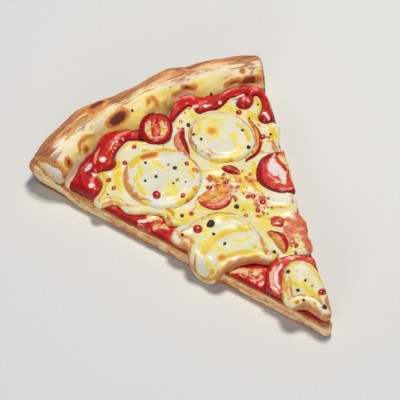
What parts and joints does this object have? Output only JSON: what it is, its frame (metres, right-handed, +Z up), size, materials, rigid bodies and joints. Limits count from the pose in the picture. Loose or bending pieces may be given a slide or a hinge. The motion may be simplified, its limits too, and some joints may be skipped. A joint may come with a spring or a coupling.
{
  "type": "cheese pizza slice",
  "caption": "Triangular slice of cheese pizza with a puffed browned rim, sauce, melted cheese, mozzarella and tomato.",
  "frame": {"origin": "middle of the slice's box, on its flat underside", "axes": "+Y along the middle of the slice from the tip to the rim, +Z up through the toppings, +X to the right seen from above with the rim away"},
  "size_m": [0.1374, 0.1764, 0.0259],
  "materials": {
    "crust": "baked bread crust, matt, browned and spotted",
    "sauce": "wet glossy tomato sauce",
    "cheese": "melted cheese, oily satin sheen, toasted in patches",
    "mozzarella": "melted mozzarella, creamy white with a satin sheen",
    "tomato": "roasted cut tomato, wet and glossy"
  },
  "bodies": {
    "root": {"crust": "crust", "sauce": "sauce", "cheese": "cheese", "mozzarella_round_left": "mozzarella", "mozzarella_round_right": "mozzarella", "mozzarella_melt_side": "mozzarella", "mozzarella_melt_tip": "mozzarella", "tomato_slice_tip": "tomato", "tomato_half_side": "tomato", "tomato_slice_sunk": "tomato", "tomato_half_rim": "tomato", "tomato_sliver": "tomato", "tomato_piece": "tomato", "tomato_wedge": "tomato", "tomato_curl": "tomato", "tomato_strip": "tomato"}
  },
  "joints": []
}
